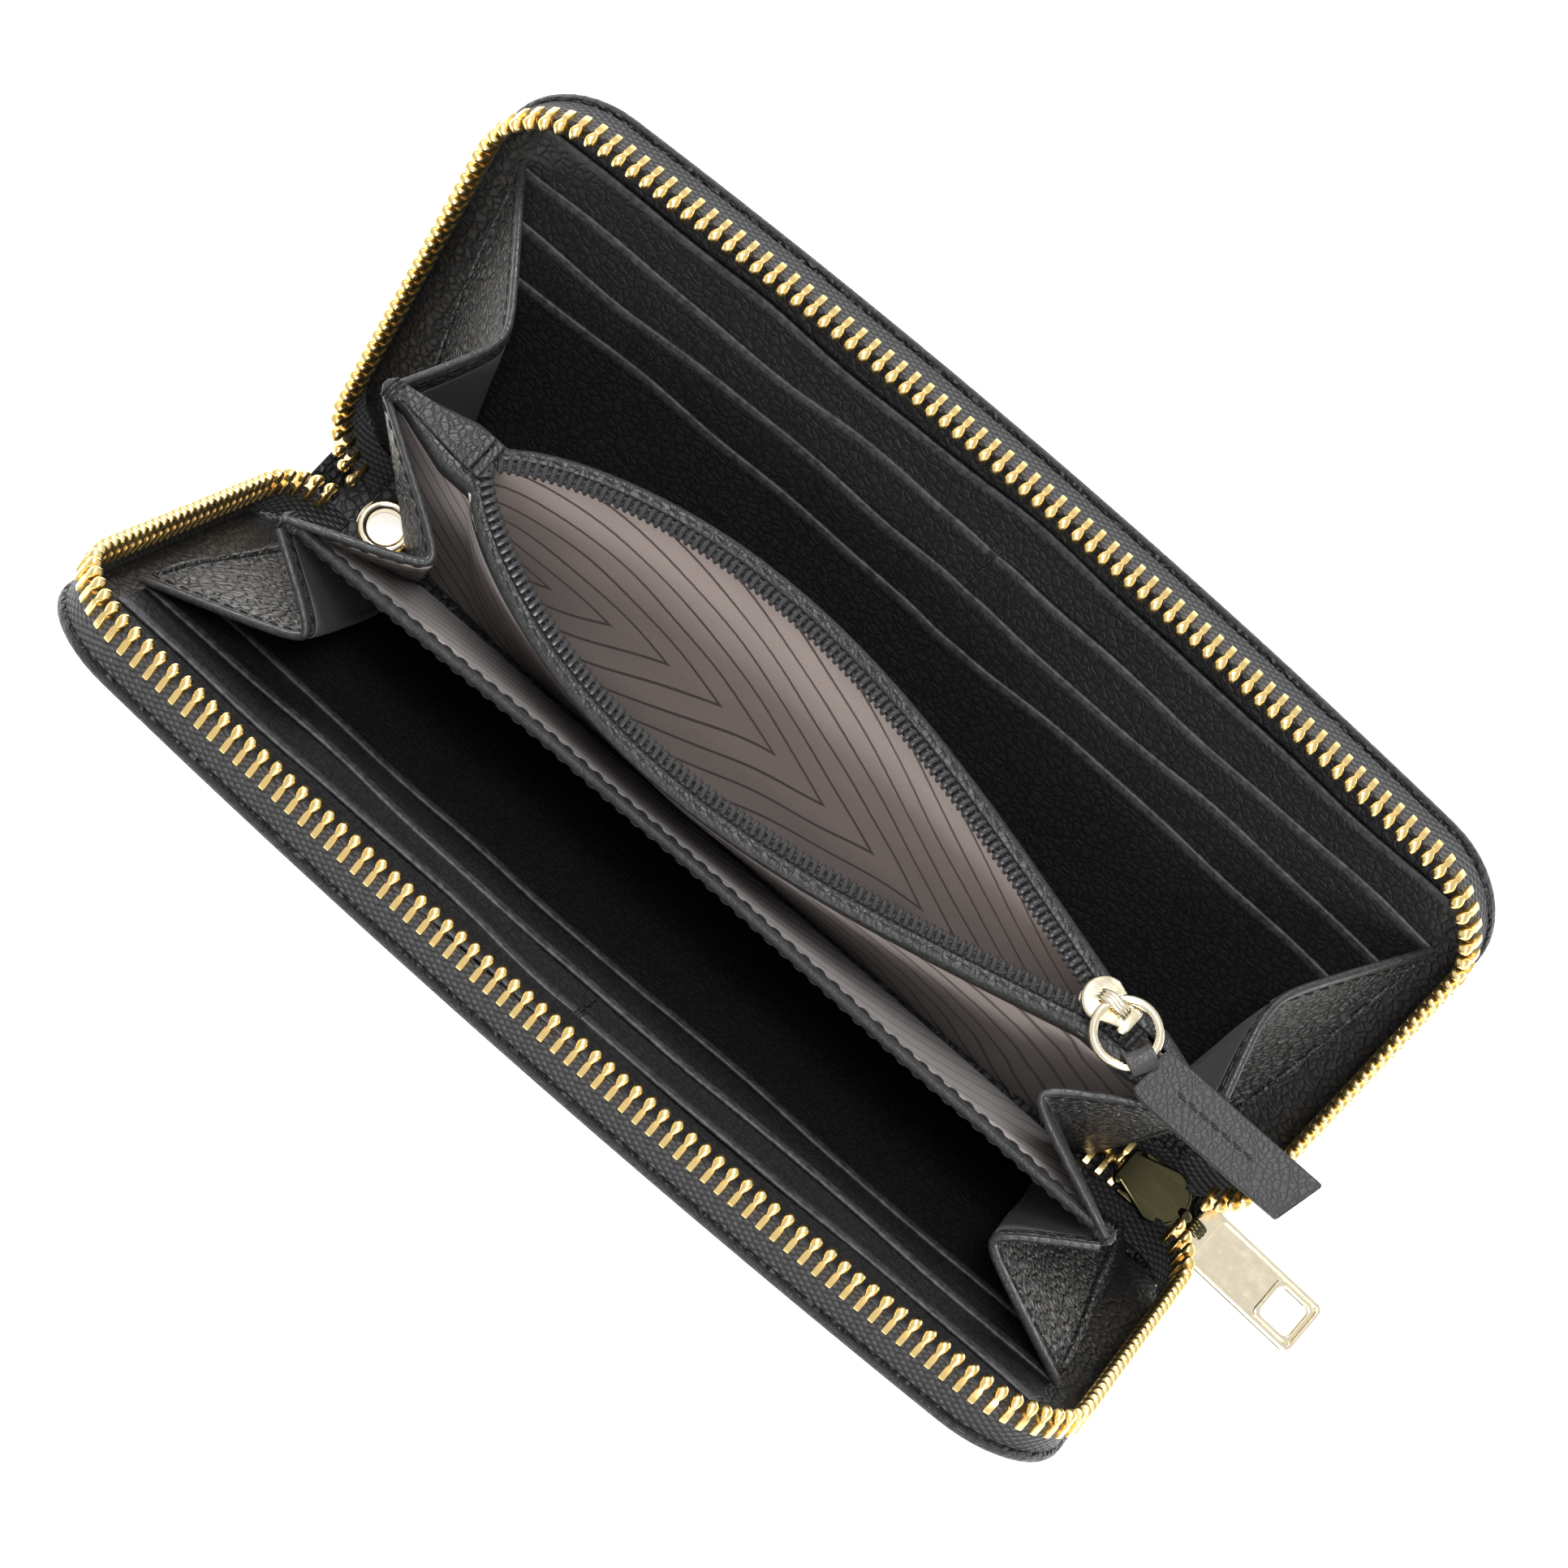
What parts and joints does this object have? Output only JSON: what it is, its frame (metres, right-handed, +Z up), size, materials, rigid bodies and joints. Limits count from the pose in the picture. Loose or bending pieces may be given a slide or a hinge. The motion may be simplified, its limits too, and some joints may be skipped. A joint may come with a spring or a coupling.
{
  "type": "zip-around wallet",
  "caption": "Zip-around leather wallet, open on its spine, with card pockets in both covers, fanned gussets, a divider and a zipped coin pocket.",
  "frame": {"origin": "middle of the face of the spine that the open wallet stands on", "axes": "+X along the spine towards the main zip slider, +Y towards the back cover, +Z up towards the open mouth"},
  "size_m": [0.2096, 0.1134, 0.0827],
  "materials": {
    "outer_leather": "pebbled, satin",
    "inner_leather": "smooth grain, satin",
    "pull_leather": "waxed, satin",
    "board": "matte board",
    "lining_cloth": "twill cloth with thin dark lines",
    "zip_tape": "woven",
    "coil": "satin nylon",
    "zip_teeth": "polished",
    "hardware": "polished pale gold"
  },
  "bodies": {
    "spine": {"spine_leather": "outer_leather", "spine_lining": "inner_leather", "strap_eyelet": "hardware", "main_slider": "hardware", "zip_chain_left": "zip_teeth", "zip_chain_right": "zip_teeth", "zip_end_tape_left": "zip_tape", "zip_end_tape_right": "zip_tape", "zip_end_teeth_left": "zip_teeth", "zip_end_teeth_right": "zip_teeth", "gusset_back_left": "inner_leather", "gusset_middle_left": "inner_leather", "gusset_front_left": "inner_leather", "gusset_back_right": "inner_leather", "gusset_middle_right": "inner_leather", "gusset_front_right": "inner_leather", "coin_wall_back": "inner_leather", "coin_wall_front": "lining_cloth", "coin_lining_back": "lining_cloth", "coin_lining_front": "lining_cloth", "coin_tape_back": "zip_tape", "coin_tape_front": "zip_tape", "coin_coil_back": "coil", "coin_coil_front": "coil", "coin_end_patch": "inner_leather"},
    "back_cover": {"back_cover_leather": "outer_leather", "back_cover_board": "board", "back_cover_lining": "inner_leather", "back_zip_tape": "zip_tape", "back_zip_teeth": "zip_teeth", "back_slip_pocket": "inner_leather", "back_card_row_1": "inner_leather", "back_card_row_2": "inner_leather", "back_card_row_3": "inner_leather"},
    "front_cover": {"front_cover_leather": "outer_leather", "front_cover_board": "board", "front_cover_lining": "inner_leather", "front_zip_tape": "zip_tape", "front_zip_teeth": "zip_teeth", "front_slip_pocket": "inner_leather", "front_card_row_1": "inner_leather", "front_card_row_2": "inner_leather", "front_card_row_3": "inner_leather"},
    "divider": {"divider_panel": "inner_leather", "divider_lining": "lining_cloth", "divider_binding": "inner_leather"},
    "main_pull": {"main_pull": "hardware"},
    "coin_slider": {"coin_slider": "hardware"},
    "coin_ring": {"coin_ring": "hardware"},
    "coin_pull": {"coin_pull": "pull_leather"}
  },
  "joints": [
    {"name": "back_cover_hinge", "type": "hinge", "parent": "spine", "child": "back_cover", "pos_m": [0, 0.0105, 0], "axis": [1, 0, 0], "range_deg": [0, 28], "deforming": ["zip_end_tape_left", "zip_end_tape_right", "zip_end_teeth_left", "zip_end_teeth_right", "gusset_back_left", "gusset_middle_left", "gusset_front_left", "gusset_back_right", "gusset_middle_right", "gusset_front_right", "coin_wall_back", "coin_wall_front", "coin_lining_back", "coin_lining_front", "coin_tape_back", "coin_tape_front", "coin_coil_back", "coin_coil_front", "coin_pull"]},
    {"name": "front_cover_hinge", "type": "hinge", "parent": "spine", "child": "front_cover", "pos_m": [0, -0.0105, 0], "axis": [-1, 0, 0], "range_deg": [0, 35.5]},
    {"name": "divider_hinge", "type": "hinge", "parent": "spine", "child": "divider", "pos_m": [0, -0.0038, 0.003], "axis": [-1, 0, 0], "range_deg": [0, 17.1]},
    {"name": "main_pull_hinge", "type": "hinge", "parent": "spine", "child": "main_pull", "pos_m": [0.0904, 0, 0.0044], "axis": [0, -1, 0], "range_deg": [0, 40]},
    {"name": "coin_slider_slide", "type": "slide", "parent": "spine", "child": "coin_slider", "axis": [-1, 0, 0], "range_m": [0, 0.108]},
    {"name": "coin_ring_swivel", "type": "hinge", "parent": "coin_slider", "child": "coin_ring", "pos_m": [0.059, -0.0019, 0.07965], "axis": [0, 0, 1], "range_deg": [0, 25]},
    {"name": "coin_pull_hinge", "type": "hinge", "parent": "coin_ring", "child": "coin_pull", "pos_m": [0.0677, -0.00596, 0.07965], "axis": [-0.4226, -0.9063, 0], "range_deg": [0, 100]}
  ],
  "couplings": [
    {"joint": "front_cover_hinge", "follows": "back_cover_hinge", "ratio": 1.2678},
    {"joint": "divider_hinge", "follows": "back_cover_hinge", "ratio": 0.6107},
    {"joint": "coin_ring_swivel", "follows": "back_cover_hinge", "ratio": 0.8928}
  ]
}
